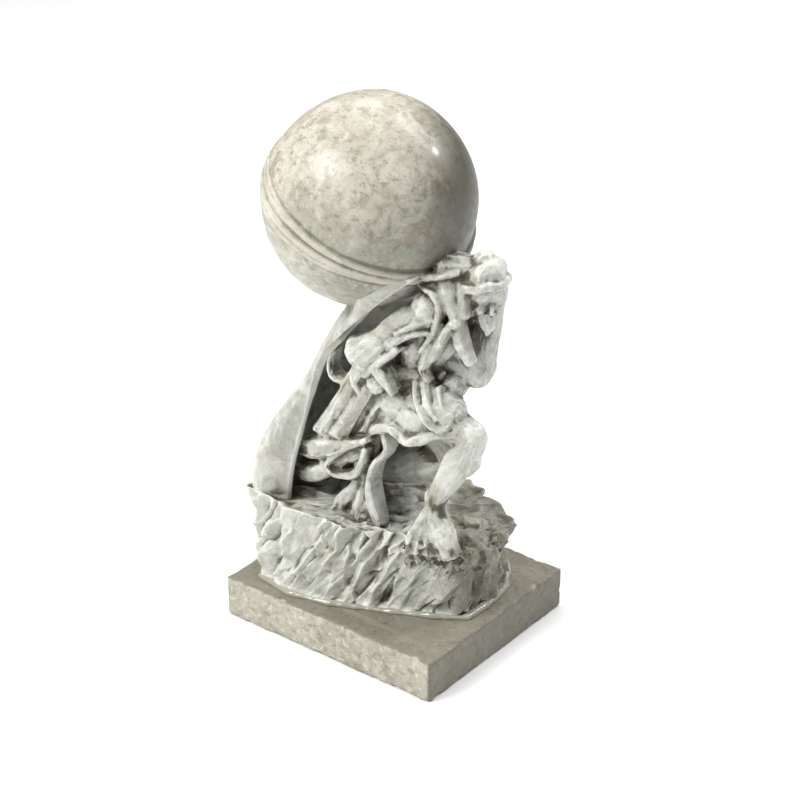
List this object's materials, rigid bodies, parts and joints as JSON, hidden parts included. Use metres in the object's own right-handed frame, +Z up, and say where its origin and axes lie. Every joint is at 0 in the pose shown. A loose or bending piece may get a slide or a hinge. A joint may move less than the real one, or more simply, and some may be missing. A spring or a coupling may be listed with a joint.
{
  "type": "stone miner statue",
  "caption": "Hand-carved stone statue of a crouching miner who bears a huge slung boulder on his back, on a sawn slab plinth.",
  "frame": {"origin": "centre of the plinth's underside", "axes": "+Z up, +X the way the man faces, -Y his right side, which the cloak's open rim shows"},
  "size_m": [0.1536, 0.1324, 0.3209],
  "materials": {
    "sawn_stone": "sawn and half polished",
    "carved_stone": "polished on the boulder, chisel-cut on the figure and the rock"
  },
  "bodies": {
    "root": {"plinth": "sawn_stone", "statue": "carved_stone"}
  },
  "joints": []
}
